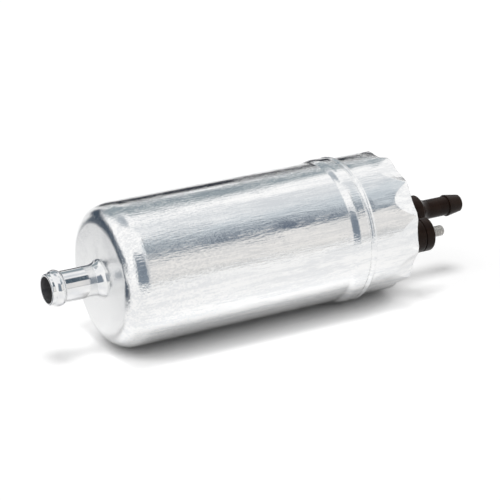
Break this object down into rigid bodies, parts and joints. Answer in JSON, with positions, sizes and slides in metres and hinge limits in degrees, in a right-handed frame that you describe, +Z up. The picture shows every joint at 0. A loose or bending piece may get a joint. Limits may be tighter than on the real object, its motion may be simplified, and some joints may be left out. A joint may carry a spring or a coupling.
{
  "type": "in-line fuel pump",
  "caption": "Electric in-line fuel pump: round drawn aluminium can, beaded metal inlet spigot, dark moulded end with a barbed outlet and stud terminals.",
  "frame": {"origin": "on the pump's axis, in the middle of the plain length of the can that a band clamp grips", "axes": "+X along the pump's axis from inlet to outlet, +Z up with the pump lying on its side"},
  "size_m": [0.1727, 0.054, 0.054],
  "materials": {
    "can_aluminium": "bright drawn aluminium, faint lengthwise grain",
    "spigot_chrome": "polished plated steel",
    "brown_plastic": "moulded, semi-gloss dark brown",
    "stud_steel": "zinc plated",
    "sintered_steel": "sintered and ground",
    "rotor_steel": "ground",
    "bronze": "sintered bronze, oiled",
    "shaft_steel": "ground",
    "spring_steel": "drawn wire",
    "copper": "enamelled or bare copper",
    "lamination": "stacked sheet",
    "flux_steel": "rolled, passivated",
    "ferrite": "sintered ferrite",
    "carbon": "pressed carbon",
    "holder_plastic": "natural nylon",
    "strainer_plastic": "moulded nylon",
    "seal_rubber": "fuel-proof rubber"
  },
  "bodies": {
    "housing": {"pump_can": "can_aluminium", "inlet_spigot": "spigot_chrome", "inlet_strainer": "strainer_plastic", "inlet_plate": "sintered_steel", "pump_ring": "sintered_steel", "outlet_plate": "sintered_steel", "pump_screws": "stud_steel", "relief_spring": "spring_steel", "relief_plug": "bronze", "front_bearing": "bronze", "rear_bearing": "bronze", "flux_ring": "flux_steel", "magnet_left": "ferrite", "magnet_right": "ferrite", "magnet_clips": "spring_steel", "brush_holder": "holder_plastic", "brush_spring_upper": "spring_steel", "brush_spring_lower": "spring_steel", "brush_lead_upper": "copper", "brush_lead_lower": "copper", "choke_positive": "ferrite", "choke_negative": "ferrite", "rear_cover": "brown_plastic", "cover_seal": "seal_rubber", "terminal_positive": "stud_steel", "terminal_negative": "stud_steel", "terminal_seals": "seal_rubber", "check_valve_seat": "bronze", "check_valve_spring": "spring_steel"},
    "armature": {"motor_shaft": "shaft_steel", "inner_rotor": "rotor_steel", "armature_core": "lamination", "armature_winding": "copper", "commutator_hub": "holder_plastic", "commutator_bars": "copper", "thrust_washers": "bronze"},
    "outer_rotor": {"outer_rotor": "rotor_steel"},
    "brush_upper": {"brush_upper": "carbon"},
    "brush_lower": {"brush_lower": "carbon"},
    "relief_ball": {"relief_ball": "rotor_steel"},
    "check_valve": {"check_valve_seal": "seal_rubber", "check_valve_poppet": "holder_plastic"}
  },
  "joints": [
    {"name": "armature_spin", "type": "hinge", "parent": "housing", "child": "armature", "pos_m": [-0.00765, 0, 0], "axis": [1, 0, 0], "continuous": true},
    {"name": "outer_rotor_spin", "type": "hinge", "parent": "housing", "child": "outer_rotor", "pos_m": [-0.03305, 0, 0.0013], "axis": [1, 0, 0], "continuous": true},
    {"name": "brush_upper_slide", "type": "slide", "parent": "housing", "child": "brush_upper", "axis": [1, 0, 0], "range_m": [0, 0.003], "stiffness_N_per_m": 250, "springref_m": -0.006, "deforming": ["brush_spring_upper", "brush_lead_upper"]},
    {"name": "brush_lower_slide", "type": "slide", "parent": "housing", "child": "brush_lower", "axis": [1, 0, 0], "range_m": [0, 0.003], "stiffness_N_per_m": 250, "springref_m": -0.006, "deforming": ["brush_spring_lower", "brush_lead_lower"]},
    {"name": "relief_ball_slide", "type": "slide", "parent": "housing", "child": "relief_ball", "axis": [-1, 0, 0], "range_m": [0, 0.0015], "stiffness_N_per_m": 2000, "springref_m": -0.003, "deforming": ["relief_spring"]},
    {"name": "check_valve_slide", "type": "slide", "parent": "housing", "child": "check_valve", "axis": [1, 0, 0], "range_m": [0, 0.0025], "stiffness_N_per_m": 120, "springref_m": -0.004, "deforming": ["check_valve_spring"]}
  ],
  "couplings": [
    {"joint": "outer_rotor_spin", "follows": "armature_spin", "ratio": 0.85714}
  ]
}
